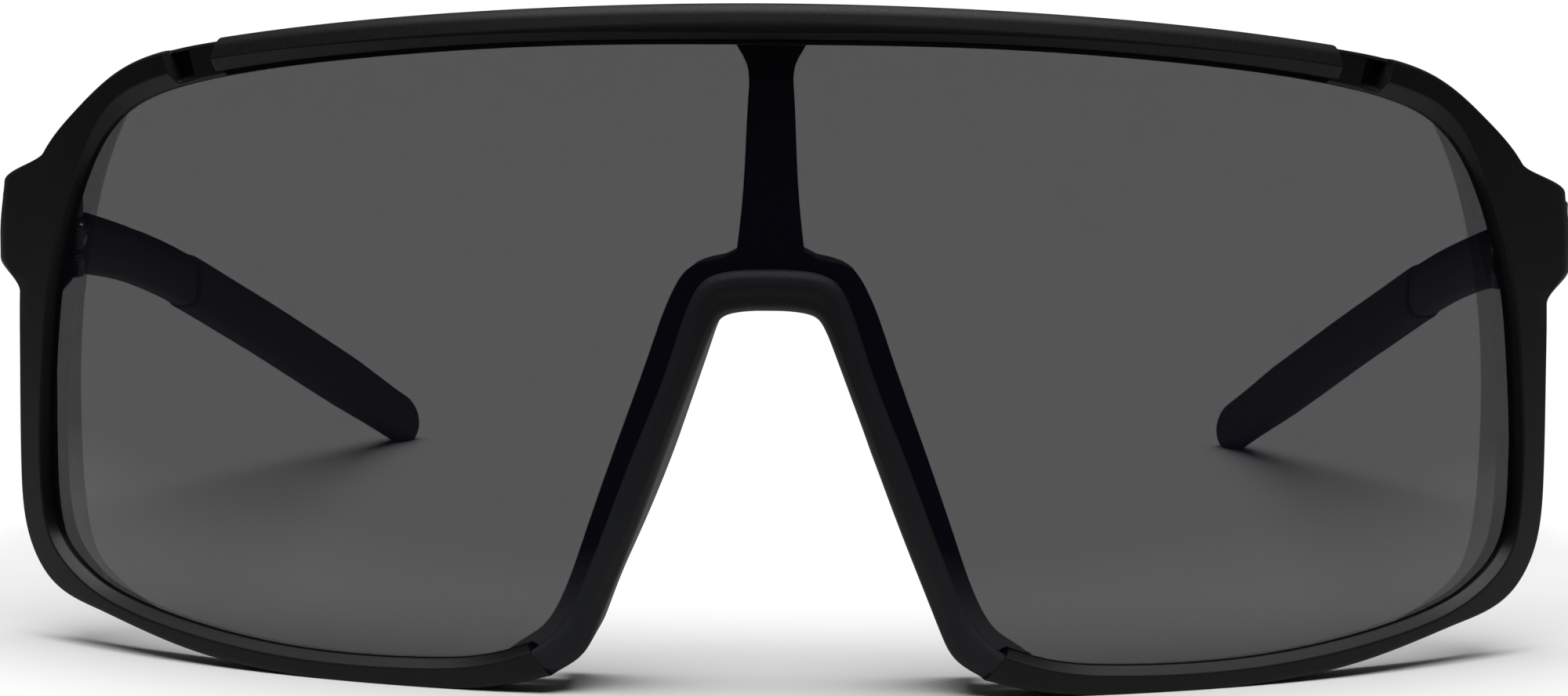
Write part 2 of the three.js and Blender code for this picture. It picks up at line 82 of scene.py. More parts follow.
CLIP_FRONT = 4.4
CLIP_BACK = 8.9
SEAM = 0.03  # hairline between the saddle and the edge of the lens
LENS_OVERLAP = 0.25  # how far the saddle's lip lies over the front of the lens
PAD_BACK = 11.5

TEMPLE_OUTER_X = 73.0
END_CORNER_X = 71.9  # where the end piece turns from the face to the side
BUTT_GAP = 0.15
TIP_END = 128.0
TIP_RADIUS = 3.0
GRIP_START = 56.0
GRIP_GAP = 0.06

BARREL_RADIUS = 1.4
BARREL_ROOM = 1.7
BORE_RADIUS = 0.75
KNUCKLES = {"lower": (31.9, 33.7), "middle": (34.7, 36.7), "upper": (37.7, 39.5)}
WASHERS = {"lower": (34.0, 34.4), "upper": (37.0, 37.4)}
LEAF_INNER_X = 67.5
LEAF_OUTER_X = 68.4
LEAF_REACH = 5.6
LEAF_SCREW_BACK = 3.5

# The painted lit patch of the floor that shows in reflections, in metres: its centre, and where it fades out
# to painted black.
PAINTED_LIT_FLOOR_CENTRE = (0, 0.12, 0)
PAINTED_LIT_FLOOR_FADE = (0.2, 0.28)

# The rim from the nose end of a lobe, round the side, to the middle of the top.
RIM_OUTER = [
    [19, 1.6], [23.5, 0.5], [31, -0.2], [44, 0], [56, 1.3], [66.9, 3.6], [74.1, 5.9],
    [77.3, 9.8], [78.3, 16], [78.3, 26], [77.8, 36], [74.8, 44.2], [69.6, 48.9], [63.2, 53],
    [52.8, 55.7], [36, 57.9], [18, 59.3], [0, 59.8],
]
RIM_INNER = [
    [21.3, 4.2], [25, 3.1], [31.5, 2.4], [44, 2.4], [56, 3.6], [65.5, 5.5], [70.3, 7.5],
    [73.5, 10.3], [74.8, 16.5], [74.2, 26.5], [72.5, 35.5], [68.8, 43.6], [65.5, 47.6],
    [61.2, 50.2], [52, 52.6], [35.4, 54.9], [18, 56.2], [0, 56.5],
]
# The nose arch from the lobe to the middle: the edge of the band, the cut edge of the lens, and the
# nose side of the rubber saddle.
ARCH_BAND = [
    [25.3, 2.2], [22.7, 4.1], [20.9, 5.3], [19.2, 7.7], [17.2, 12.7], [14.3, 20.7], [10.9, 29.8], [8.8, 35.1],
    [7.4, 37], [5.8, 37.7], [4.3, 38],
]
ARCH_LENS = [
    [20.7, 3.5], [19.3, 4.6], [17.5, 7], [15, 12.5], [12, 20.3], [8.3, 29.8], [6.8, 34.1], [5.6, 36],
    [3.5, 36.75], [0, 36.9],
]
ARCH_NOSE = [
    [18.95, 1.6], [17, 2.8], [15.4, 5.3], [12.5, 12.4], [9.4, 20.4], [5.8, 29.8], [4.8, 32.1],
    [4, 33], [2.4, 33.4], [0, 33.5],
]
POST = [
    [3.05, 38.6], [2.75, 41], [2.35, 46], [2.05, 52], [2.1, 54.3], [2.5, 55.3], [3.25, 56.6], [3.4, 57.4],
]
# The inner edge of the darker zone along the side of the lens.
LENS_ZONE = [
    [57, 2.6], [60, 4.1], [62.7, 5.1], [65.3, 6.3], [67.4, 7.5], [68.7, 8.8], [69.9, 11.6],
    [70.7, 17.4], [70.8, 26.1], [70.2, 31.9], [68.9, 37.7], [66.9, 43.5], [65.4, 46.5], [63.4, 49.6],
]
TEMPLE_LINE = [
    [70.8, 0, 35.7], [70.3, 14, 34], [69.1, 28, 32], [67.4, 42, 29.4], [65.4, 56, 26],
    [63, 70, 21.9], [60.2, 84, 17.5], [57.2, 98, 12.8], [53.9, 112, 7.9], [49, 128, 1.4],
]


# ---- curves and sections -------------------------------------------------------------------------
def lerp(a, b, share):
    return a + (b - a) * share


def smoothstep(low, high, value):
    share = min(max((value - low) / (high - low), 0.0), 1.0)
    return share * share * (3 - 2 * share)


class Spline:
    """A curve of even curvature through points, with the distance between them as its parameter."""

    def __init__(self, points, knots=None):
        self.points = np.array(points, float)
        steps = np.diff(self.points, axis=0)
        if knots is None:
            knots = np.concatenate(([0.0], np.cumsum(np.linalg.norm(steps, axis=1))))
        self.knots = np.array(knots, float)
        gaps = np.diff(self.knots)
        slopes = steps / gaps[:, None]
        system = np.eye(len(knots))
        target = np.zeros_like(self.points)
        for i in range(1, len(knots) - 1):
            system[i, i - 1:i + 2] = gaps[i - 1], 2 * (gaps[i - 1] + gaps[i]), gaps[i]
            target[i] = 6 * (slopes[i] - slopes[i - 1])
        self.bends = np.linalg.solve(system, target)

    def at(self, where):
        where = np.atleast_1d(np.asarray(where, float))
        i = np.clip(np.searchsorted(self.knots, where, side="right") - 1, 0, len(self.knots) - 2)
        gap = (self.knots[i + 1] - self.knots[i])[:, None]
        b = (where - self.knots[i])[:, None] / gap
        a = 1 - b
        bend = (a**3 - a) * self.bends[i] + (b**3 - b) * self.bends[i + 1]
        return a * self.points[i] + b * self.points[i + 1] + bend * gap**2 / 6

    def places(self, spacing):
        count = max(2, round((self.knots[-1] - self.knots[0]) / spacing))
        return np.linspace(self.knots[0], self.knots[-1], count + 1)


def both_halves(half):
    """A half outline and its mirror image, from the left end to the right."""
    return [[-x, z] for x, z in half] + [[x, z] for x, z in half[-2::-1]]


def paired(first, second):
    """Splines through two half outlines and their mirror images, with matching parameters."""
    leader = Spline(both_halves(first))
    return leader, Spline(both_halves(second), leader.knots)


def rounded(corners):
    """Outline points of (x, y, reach, steps) corners. Each corner becomes an arc that reaches
    that far along both of its sides, with the same number of points for every radius."""
    points = []
    for i, (x, y, reach, steps) in enumerate(corners):
        corner = Vector((x, y))
        before = Vector(corners[i - 1][:2]) - corner
        after = Vector(corners[(i + 1) % len(corners)][:2]) - corner
        reach = min(reach, 0.49 * before.length, 0.49 * after.length)
        start = corner + before.normalized() * reach
        end = corner + after.normalized() * reach
        pull = math.cos((math.pi - before.angle(after)) / 2)
        for k in range(steps + 1):
            share = k / max(steps, 1)
            weights = (1 - share)**2, 2 * share * (1 - share) * pull, share**2
            points.append((start * weights[0] + corner * weights[1] + end * weights[2]) / sum(weights))
    return points


def on_face(arc, height, depth):
    angle = arc / FACE_RADIUS
    radius = FACE_RADIUS - depth
    return Vector((radius * math.sin(angle), FACE_CENTRE_Y - radius * math.cos(angle), height))


def across(start, toward, section):
    """Places (distance across, depth) points on the line between two outline points."""
    direction = (toward - start) / np.linalg.norm(toward - start)
    return [on_face(*(start + direction * u), depth) for u, depth in section]


def above_floor(rings):
    """The rings, with points that dip below the floor raised to it."""
    return [[Vector((point.x, point.y, max(point.z, 0.0))) for point in ring] for ring in rings]


# ---- meshes --------------------------------------------------------------------------------------
def loft(rings):
    """Vertices and faces of a skin over rings of equally many points, closed at both ends."""
    count = len(rings[0])
    faces = []
    for r in range(len(rings) - 1):
        a, b = r * count, (r + 1) * count
        faces += [[a + i, a + (i + 1) % count, b + (i + 1) % count, b + i] for i in range(count)]
    last = (len(rings) - 1) * count
    faces.append(list(range(count - 1, -1, -1)))
    faces.append([last + i for i in range(count)])
    return [point for ring in rings for point in ring], faces


def lathe(profile, steps=56):
    """Vertices and faces of (radius, height) points turned round Z, from the axis to the axis."""
    rings = []
    for k in range(steps):
        angle = 2 * math.pi * k / steps
        rings += [Vector((r * math.cos(angle), r * math.sin(angle), h)) for r, h in profile]
    count = len(profile)
    faces = []
    for k in range(steps):
        a, b = k * count, ((k + 1) % steps) * count
        faces += [[a + i, b + i, b + i + 1, a + i + 1] for i in range(count - 1)]
    return rings, faces


def make_object(name, verts, faces, transform=None, polish_and_shade=None, materials=None):
    """A mesh object in metres from vertices in millimetres."""
    shape = bmesh.new()
    layer = shape.verts.layers.float.new("polish_and_shade") if polish_and_shade is not None else None
    made = []
    for i, vert in enumerate(verts):
        made.append(shape.verts.new((transform @ vert if transform else vert) * MM))
        if polish_and_shade is not None:
            made[-1][layer] = polish_and_shade[i]
    for i, face in enumerate(faces):
        corners = [made[v] for v in face]
        built = shape.faces.new(corners)
        if materials is not None:
            built.material_index = materials[i]
    bmesh.ops.remove_doubles(shape, verts=shape.verts, dist=3e-6)
    bmesh.ops.recalc_face_normals(shape, faces=shape.faces)
    mesh = bpy.data.meshes.new(name)
    shape.to_mesh(mesh)
    shape.free()
    piece = bpy.data.objects.new(name, mesh)
    bpy.context.scene.collection.objects.link(piece)
    return piece


def combine(target, tool, operation):
    """Cuts `tool` from the target, or joins the two, and removes the tool."""
    modifier = target.modifiers.new("combine", "BOOLEAN")
    modifier.operation = operation
    modifier.solver = "EXACT"
    modifier.object = tool
    bpy.context.view_layer.update()
    evaluated = target.evaluated_get(bpy.context.evaluated_depsgraph_get())
    mesh = bpy.data.meshes.new_from_object(evaluated)
    target.modifiers.clear()
    target.data = mesh
    bpy.data.objects.remove(tool)
    return target


def finish_piece(piece, node, body, slot, *materials, sharp=32):
    """Smooths a piece, gives it its materials, parents it to its body's empty and hides the imported part it
    replaces.
    """
    piece.name = piece.data.name = node + "_fine"
    for face in piece.data.polygons:
        face.use_smooth = True
    piece.data.set_sharp_from_angle(angle=math.radians(sharp))
    weighted = piece.modifiers.new("weighted_normals", "WEIGHTED_NORMAL")
    weighted.keep_sharp = True
    while len(piece.data.materials) < len(materials):
        piece.data.materials.append(None)
    for slot_index, material in enumerate(materials):
        piece.data.materials[slot_index] = material
    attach(piece, body)
    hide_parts(node)
    return piece


# ---- materials -----------------------------------------------------------------------------------
class Shader:
    """A Principled material whose colour, roughness and bump come from nodes."""

    def __init__(self, name, **sockets):
        self.material = bpy.data.materials.new(name)
        self.material.use_nodes = True
        self.nodes = self.material.node_tree.nodes
        self.links = self.material.node_tree.links
        self.surface = self.nodes["Principled BSDF"]
        self.place = self.nodes.new("ShaderNodeTexCoord").outputs["Object"]
        for socket, value in sockets.items():
            self.surface.inputs[socket.replace("_", " ")].default_value = value

    def noise(self, scale, detail=2.0, stretch=(1, 1, 1)):
        spread = self.nodes.new("ShaderNodeMapping")
        spread.inputs["Scale"].default_value = stretch
        texture = self.nodes.new("ShaderNodeTexNoise")
        texture.inputs["Scale"].default_value = scale
        texture.inputs["Detail"].default_value = detail
        self.links.new(self.place, spread.inputs["Vector"])
        self.links.new(spread.outputs["Vector"], texture.inputs["Vector"])
        return texture.outputs["Fac"]

    def attribute(self, name):
        node = self.nodes.new("ShaderNodeAttribute")
        node.attribute_name = name
        return node.outputs["Fac"]

    def remap(self, value, low, high, start=0.3, end=0.7):
        """Turns `start` to `end` into `low` to `high`, which are numbers or other nodes' outputs."""
        node = self.nodes.new("ShaderNodeMapRange")
        node.inputs["From Min"].default_value = start
        node.inputs["From Max"].default_value = end
        self.links.new(value, node.inputs["Value"])
        for socket, source in (("To Min", low), ("To Max", high)):
            if isinstance(source, float):
                node.inputs[socket].default_value = source
            else:
                self.links.new(source, node.inputs[socket])
        return node.outputs["Result"]

    def blend(self, share, first, second):
        node = self.nodes.new("ShaderNodeMix")
        node.data_type = "RGBA"
        self.links.new(share, node.inputs["Factor"])
        for socket, source in (("A_Color", first), ("B_Color", second)):
            target = next(s for s in node.inputs if s.identifier == socket)
            if isinstance(source, tuple):
                target.default_value = (*source, 1.0)
            else:
                self.links.new(source, target)
        return next(s for s in node.outputs if s.identifier == "Result_Color")

    def colour(self, source):
        self.links.new(source, self.surface.inputs["Base Color"])

    def roughness(self, source):
        self.links.new(source, self.surface.inputs["Roughness"])

    def bump(self, height, strength, distance):
        node = self.nodes.new("ShaderNodeBump")
        node.inputs["Strength"].default_value = strength
        node.inputs["Distance"].default_value = distance
        self.links.new(height, node.inputs["Height"])
        self.links.new(node.outputs["Normal"], self.surface.inputs["Normal"])


def matte_nylon():
    """Moulded nylon with a fine spark-eroded grain. The polish attribute marks its polished bevels and the
    dimples at the notches: they get a lower roughness, and their colour is painted darker, a painted shade
    for the dark front they reflect and for the recess.
    """
    shader = Shader("matte_nylon", Specular_IOR_Level=0.24)
    grain = shader.noise(5200, 3)
    cloud = shader.noise(90, 3)
    base = shader.blend(cloud, (0.0050, 0.0050, 0.0053), (0.0080, 0.0078, 0.0080))
    speckled = shader.blend(shader.remap(grain, 0.0, 0.4, 0.4, 0.8), base, (0.014, 0.014, 0.0145))
    polish_and_shade = shader.attribute("polish_and_shade")
    # Painted shade: polished places get a darker colour, standing in for the dark reflection on the bevels
    # and the shade in the notch dimples.
    shader.colour(shader.blend(polish_and_shade, speckled, (0.0025, 0.0025, 0.0027)))
    rough = shader.remap(grain, 0.44, 0.58)
    shader.roughness(shader.remap(polish_and_shade, rough, 0.3, 0.0, 1.0))
    shader.bump(grain, 0.22, 0.00002)
    return shader.material


def gloss_nylon():
    """Polished black nylon with the faint waviness of a moulded surface."""
    shader = Shader("gloss_nylon")
    wave = shader.noise(260, 2)
    shader.colour(shader.blend(wave, (0.0010, 0.0010, 0.0012), (0.0019, 0.0019, 0.0022)))
    shader.roughness(shader.remap(shader.noise(3000, 3), 0.06, 0.11))
    shader.bump(wave, 0.06, 0.00002)
    return shader.material


def soft_rubber(name, painted_brightness):
    """Soft-touch rubber: dull, slightly blue, with a velvety grain. The brightness factor paints a lit copy
    of the same rubber paler: painted light, not a different rubber.
    """
    shader = Shader(name, Specular_IOR_Level=0.3)
    grain = shader.noise(4200, 4)
    cloud = shader.noise(140, 3)
    dark, light, speckle = (tuple(painted_brightness * value for value in colour) for colour in (
        (0.0070, 0.0078, 0.0098), (0.0102, 0.0114, 0.0138), (0.016, 0.0172, 0.0195)))
    base = shader.blend(cloud, dark, light)
    shader.colour(shader.blend(shader.remap(grain, 0.0, 0.35), base, speckle))
    shader.roughness(shader.remap(grain, 0.58, 0.72))
    shader.bump(grain, 0.3, 0.00003)
    return shader.material


def smoke_lens(name, opacity):
    """Dark polycarbonate. Each of its two faces holds back `opacity` of the light."""
    shader = Shader(name, Alpha=opacity)
    tint = shader.noise(14, 1)
    shader.colour(shader.blend(tint, (0.0042, 0.0042, 0.0110), (0.0048, 0.0047, 0.0125)))
    shader.roughness(shader.remap(shader.noise(900, 2), 0.015, 0.03))
    return shader.material


def brushed_steel():
    """Stamped steel, brushed along its height."""
    shader = Shader("brushed_steel", Metallic=1.0)
    streaks = shader.noise(2600, 4, stretch=(1, 1, 0.05))
    spots = shader.noise(500, 3)
    base = shader.blend(streaks, (0.30, 0.31, 0.33), (0.46, 0.47, 0.49))
    shader.colour(shader.blend(shader.remap(spots, 0.0, 0.35, 0.5, 0.8), base, (0.22, 0.22, 0.23)))
    shader.roughness(shader.remap(streaks, 0.24, 0.42))
    shader.bump(streaks, 0.2, 0.00001)
    return shader.material


def dark_nylon():
    """Unpolished bearing nylon for the hinge washers."""
    shader = Shader("dark_nylon")
    grain = shader.noise(3500, 3)
    shader.colour(shader.blend(grain, (0.032, 0.033, 0.036), (0.055, 0.056, 0.060)))
    shader.roughness(shader.remap(grain, 0.5, 0.65))
    shader.bump(grain, 0.2, 0.00001)
    return shader.material


def pale_floor():
    """White paper to the camera. In reflections and bounced light the floor's colour is painted black, a
    painted shade standing in for flags, except for a painted lit patch under the glasses.
    """
    shader = Shader("pale_floor")
    fibre = shader.noise(40, 4)
    paper = shader.blend(fibre, (0.86, 0.86, 0.86), (0.9, 0.9, 0.9))
    distance = shader.nodes.new("ShaderNodeVectorMath")
    distance.operation = "DISTANCE"
    distance.inputs[1].default_value = PAINTED_LIT_FLOOR_CENTRE
    shader.links.new(shader.place, distance.inputs[0])
    # Painted light and shade: away from the camera the colour is 0.8 under the glasses and fades to 0.03
    # farther out.
    painted_lit_patch = shader.remap(distance.outputs["Value"], 0.8, 0.03, *PAINTED_LIT_FLOOR_FADE)
    seen = shader.nodes.new("ShaderNodeLightPath").outputs["Is Camera Ray"]
    shader.colour(shader.blend(shader.remap(seen, painted_lit_patch, 1.0, 0.0, 1.0), (0, 0, 0), paper))
    shader.roughness(shader.remap(fibre, 0.8, 0.9))
    shader.surface.inputs["Specular IOR Level"].default_value = 0.0
    return shader.material


NYLON = matte_nylon()
GLOSS = gloss_nylon()
RUBBER = soft_rubber("soft_rubber", 1.0)
# Painted light: the grips are the saddle's rubber, painted 2.4 times paler because more light falls on them.
GRIP_RUBBER_PAINTED_LIT = soft_rubber("grip_rubber_painted_lit", 2.4)
LENS = smoke_lens("smoke_lens", 0.705)
LENS_EDGE = smoke_lens("smoke_lens_edge", 0.855)
STEEL = brushed_steel()
WASHER = dark_nylon()


# ---- front frame ---------------------------------------------------------------------------------
OUTER_LINE, INNER_LINE = paired(RIM_OUTER, RIM_INNER)


def rim_places():
    """Parameters along the rim, closer together at the notches and the end pieces."""
    probe = np.linspace(0, OUTER_LINE.knots[-1], 9000)
    arcs, heights = abs(OUTER_LINE.at(probe)).T
    notch = (heights > 50) & (abs(arcs - 55) < 3.6)
    end = (arcs > 68) & (heights > 29.5) & (heights < 47.5)
    density = np.where(notch, 1 / 0.08, np.where(end, 1 / 0.2, 1 / 0.75))
    total = np.concatenate(([0.0], np.cumsum(density[:-1] * np.diff(probe))))
    return np.interp(np.linspace(0, total[-1], math.ceil(total[-1])), total, probe)


def face_depth(arc):
    """How much of the brow bar's recess there is at a place on the top, with the depth of the rim's
    face there and its depth in the dimple at the recess's end."""
    end = 1 - smoothstep(POCKET_END - 0.1, POCKET_END + 0.1, arc)
    step = lerp(POCKET_DEPTH, STEP_DEPTH, smoothstep(BAR_HALF_SPAN - 0.3, BAR_HALF_SPAN, arc)) * end
    start, stop = DIMPLE_SPAN
    into = smoothstep(start - 0.1, start + 0.25, arc) * (1 - smoothstep(stop - 0.2, stop, arc))
    return end, step, lerp(step, DIMPLE_DEPTH, into)


def rim_section(outer, inner):
    """Section points of the rim and their polish, from the lens side of the lip round the outer wall
    and back along the wall's inner side. The polish lowers the roughness and paints the colour darker, a
    painted shade on the bevel and in the dimple."""
    width = float(np.linalg.norm(inner - outer))
    depth = lerp(RIM_DEPTH_LOW, RIM_DEPTH_TOP, smoothstep(40, 50, outer[1]))
    pocket, step, floor = face_depth(abs(outer[0])) if outer[1] > 50 else (0.0, 0.0, 0.0)
    dimple = (floor - step) / (DIMPLE_DEPTH - STEP_DEPTH)
    bevel = lerp(0.8, 0.2, smoothstep(4, 14, outer[1]))
    bevel = lerp(lerp(bevel, 1.3, smoothstep(42, 52, outer[1])), 0.3, pocket)
    wall = (depth + 1.2) / 2
    soft = lerp(0.55, 0.15, pocket)
    corners = [
        (width, LIP_THICKNESS, 0.05, 1), (width, BEVEL_DEPTH, 0.12, 3),
        (width - bevel, step, soft, 6),
        (width - bevel - 0.35, floor, 0.2, 3), (lerp(width * 0.42, 0.5, pocket), floor, 0.1, 2),
        (lerp(width * 0.4, 0.35, pocket), step, 0.05, 1),
        (0, lerp(0, step + 0.35, pocket), lerp(0.45, 0.15, pocket), 7),
        (0, wall, wall, 8), (0, depth, 0.2, 4), (0.2, depth, 0, 0), (0.3, depth, 0.05, 6),
        (WALL_BACK, depth, 0.12, 4), (WALL_THICKNESS, wall, 0.3, 4),
        (WALL_THICKNESS, LIP_THICKNESS, 0.05, 1),
    ]
    # Polish for each corner, as (first, last): it lowers the roughness and paints the colour darker, a
    # painted shade on the bevel, the dimple and the notch's top edge.
    shine_and_shade = [(1, 1), (1, 0.9), (0.55, 0), (0, dimple), (dimple, dimple), (pocket, pocket), (pocket, pocket)]
    polish_and_shade = []
    for i, (_, _, _, steps) in enumerate(corners):
        first, last = shine_and_shade[i] if i < len(shine_and_shade) else (0, 0)
        polish_and_shade += [lerp(first, last, k / max(steps, 1)) for k in range(steps + 1)]
    return rounded(corners), polish_and_shade


def end_loop():
    """Plan of the right end piece, from the front edge round the butt to the inner side, with one
    point for each point of rim_section() that it replaces."""
    butt = HINGE_Y - BUTT_GAP
    reach = BARREL_ROOM
    first = -math.asin(BUTT_GAP / reach)
    last = -math.acos(1.0 / reach)
    room = [Vector((HINGE_X + reach * math.cos(a), HINGE_Y + reach * math.sin(a)))
            for a in np.linspace(first, last, 8)]
    outside = rounded([
        (67.5, HINGE_Y - 16.5, 0, 0), (END_CORNER_X, HINGE_Y - 12.3, 1.0, 7),
        (TEMPLE_OUTER_X, HINGE_Y - 5.5, 3.0, 8), (TEMPLE_OUTER_X, butt, 0.3, 4),
        (room[0].x, butt, 0, 0),
    ])[1:-1]
    inside = rounded([
        (room[-1].x, room[-1].y, 0, 0), (room[-1].x, HINGE_Y - 5.8, 0.4, 4),
        (65.4, HINGE_Y - 9.4, 0.3, 4), (64.6, HINGE_Y - 12, 0, 0),
    ])[1:-1]
    return outside + room + inside


END_LOOP = end_loop()
FRONT_CORNER = 8  # points of END_LOOP at its front corner
BEFORE_END = 2 + 4 + 7 + 4 + 3 + 2  # points of rim_section() on the lip, before its outer edge


def with_end_piece(ring, outer):
    """Pulls the outer side of a rim section out to the end piece that carries the hinge."""
    height = outer[1]
    shoulder = 0.85 * smoothstep(41.9, 44.9, height) + 0.15 * smoothstep(36.8, 42.4, height)
    sideways = smoothstep(31.9, 34.8, height) * (1 - shoulder)
    back = smoothstep(30.7, 32.4, height) * (1 - smoothstep(38.95, 43.2, height))
    if abs(outer[0]) < 68 or max(sideways, back) == 0:
        return ring
    side = math.copysign(1, outer[0])
    behind = min(sideways, back + 0.25)
    for i, plan in enumerate(END_LOOP):
        in_front = i < FRONT_CORNER
        point = ring[BEFORE_END + i]
        point.x = lerp(point.x, side * plan.x, sideways if in_front else behind)
        point.y = lerp(point.y, plan.y, sideways if in_front else back)
    return ring


def front_frame():
    rings, polish_and_shade = [], []
    places = rim_places()
    for outer, inner in zip(OUTER_LINE.at(places), INNER_LINE.at(places)):
        section, shine_and_shade = rim_section(outer, inner)
        rings.append(with_end_piece(across(outer, inner, section), outer))
        polish_and_shade += shine_and_shade
    piece = make_object("front", *loft(above_floor(rings)), polish_and_shade=polish_and_shade)
    return finish_piece(piece, "front_frame", "front", "matte_nylon", NYLON)


# ---- brow bar ------------------------------------------------------------------------------------
def top_heights(line, arcs):
    """Heights of the top of an outline at arc lengths."""
    run = line.at(np.linspace(line.knots[0], line.knots[-1], 6000))
    top = run[run[:, 1] > 47]
    return np.interp(arcs, top[:, 0], top[:, 1])


def brow_bar():
    round_end = 0.5
    inner = [BAR_HALF_SPAN - round_end * (1 - math.sin(math.radians(a))) for a in range(0, 91, 15)]
    arcs = np.concatenate((-np.array(inner[::-1]), np.arange(-49.5, 49.9, 0.75), inner))
    lows = top_heights(INNER_LINE, arcs) + 0.5
    highs = top_heights(OUTER_LINE, arcs) + 0.25
    rings = []
    for arc, low, high in zip(arcs, lows, highs):
        out = max(0.0, abs(arc) - (BAR_HALF_SPAN - round_end)) / round_end
        shrink = round_end * 0.7 * (1 - math.sqrt(max(0.0, 1 - out**2)))
        ridge = lerp(0.5, 1.1, abs(arc) / BAR_HALF_SPAN)
        front = -BAR_PROUD + shrink
        section = rounded([
            (low + shrink * 0.4, BAR_BACK, 0.05, 1), (low + shrink * 0.4, 0.25, 0.12, 3),
            (low + ridge, front, 0.18, 4), (high - 1.75, front, 0.5, 4),
            (high - 0.5 - shrink, front + 0.45, 0.45, 5), (high - shrink, front + 1.1, 0.25, 4),
            (high - shrink, BAR_BACK, 0.08, 2),
        ])
        rings.append([on_face(arc, height, depth) for height, depth in section])
    piece = make_object("bar", *loft(rings), polish_and_shade=[0.0] * (len(rings) * len(rings[0])))
    return finish_piece(piece, "brow_bar", "front", "matte_nylon", NYLON)


# ---- lens and nose bridge: plates on the cylinder ------------------------------------------------
def inset(outline, distance):
    """A closed anticlockwise outline, moved inward."""
    points = np.array(outline)
    along = np.roll(points, -1, axis=0) - np.roll(points, 1, axis=0)
    along /= np.linalg.norm(along, axis=1)[:, None]
    return points + np.stack((-along[:, 1], along[:, 0]), axis=1) * distance


def fill(outline, spacing, creases=()):
    """Triangles inside an outline, with a grid of points for an even bend, and edges along creases."""
    low, high = outline.min(axis=0), outline.max(axis=0)
    columns, rows = (np.arange(low[i], high[i], spacing) for i in (0, 1))
    grid = [(x, z) for x in columns for z in rows]
    grid = [p for p in grid if np.min(np.linalg.norm(outline - p, axis=1)) > spacing * 0.4]
    points = [Vector(p) for p in outline] + [Vector(p) for p in grid]
    edges = []
    for crease in creases:
        start = len(points)
        points += [Vector(p) for p in crease]
        edges += [(start + i, start + i + 1) for i in range(len(crease) - 1)]
    found = delaunay_2d_cdt(points, edges, [list(range(len(outline)))], 1, 1e-5)
    return found[0], found[2]


def plate(outline, front, back_at, edge, spacing, creases=()):
    """Vertices and faces of a plate with rounded edges, from the depth `front` to the depth that
    back_at() gives for a height."""
    steps = 4
    turns = [math.pi / 2 * k / steps for k in range(steps + 1)]
    loops = [(edge * (1 - math.sin(a)), edge * (1 - math.cos(a)), 0) for a in turns]
    loops += [(edge * (1 - math.cos(a)), 0, edge * (1 - math.sin(a))) for a in turns]
    rings = []
    for inward, from_front, from_back in loops:
        points = inset(outline, inward)
        at_back = len(rings) > steps
        rings.append([on_face(x, z, back_at(z) - from_back if at_back else front + from_front)
                      for x, z in points])
    verts, faces = loft(rings)
    faces = faces[:-2]
    for depth_at in (lambda height: front, back_at):
        points, triangles = fill(inset(outline, edge), spacing, creases)
        start = len(verts)
        verts += [on_face(p.x, p.y, depth_at(p.y)) for p in points]
        faces += [[start + i for i in triangle] for triangle in triangles]
    return verts, faces


def lens_outline():
    """The lens from the middle of the arch round the right side, and back along the mirror image."""
    arch = Spline(ARCH_LENS[::-1])
    half = [list(p) for p in arch.at(arch.places(0.8))]
    places = OUTER_LINE.places(0.9)
    outer, inner = OUTER_LINE.at(places), INNER_LINE.at(places)
    margin = (inner - outer) / np.linalg.norm(inner - outer, axis=1)[:, None] * (WALL_THICKNESS + 0.25)
    hidden = (outer + margin)[::-1]
    right = hidden[(hidden[:, 0] > 0) & ((hidden[:, 0] > 23) | (hidden[:, 1] > 30))]
    half += [list(p) for p in right]
    return np.array(half + [[-x, z] for x, z in half[::-1] if x > 1e-6])


def shield_lens():
    zone = Spline(LENS_ZONE)
    line = zone.at(zone.places(1.0))
    creases = [line, line * (-1, 1)]
    verts, faces = plate(lens_outline(), LENS_FRONT, lambda height: LENS_BACK, 0.25, 3.0, creases)
    materials = []
    for face in faces:
        centre = sum((verts[i] for i in face), Vector()) / len(face)
        arc = FACE_RADIUS * math.atan2(abs(centre.x), FACE_CENTRE_Y - centre.y)
        limit = np.interp(centre.z, line[:, 1], line[:, 0])
        depth = FACE_RADIUS - math.hypot(centre.x, centre.y - FACE_CENTRE_Y)
        in_darker_band = arc > limit and line[0, 1] < centre.z < line[-1, 1]
        materials.append(int(in_darker_band and depth < (LENS_FRONT + LENS_BACK) / 2))
    piece = make_object("lens", verts, faces, materials=materials)
    for material in (LENS, LENS_EDGE):
        piece.data.materials.append(material)
    return finish_piece(piece, "shield_lens", "front", "smoke_lens", LENS, LENS_EDGE)


def nose_bridge():
    """The band behind the cut edge of the lens, with the centre post that rises to the rim."""
    arch = Spline(ARCH_LENS[::-1])
    band = Spline(ARCH_BAND)
    post = Spline(POST)
    half = [list(p) for p in arch.at(arch.places(0.6))]
    half += [list(p) for p in band.at(band.places(0.6))]
    half += [list(p) for p in post.at(post.places(0.6))]
    outline = np.array(half + [[-x, z] for x, z in half[::-1] if x > 1e-6])

    def back(height):
        return lerp(BAND_BACK, POST_BACK, smoothstep(38.2, 41.5, height))

    verts, faces = plate(outline, BACK_DEPTH, back, 0.3, 1.2)
    piece = make_object("bridge", verts, faces)
    return finish_piece(piece, "nose_bridge", "front", "gloss_nylon", GLOSS)


# ---- nose saddle ---------------------------------------------------------------------------------
LENS_LINE, NOSE_LINE = paired(ARCH_LENS, ARCH_NOSE)


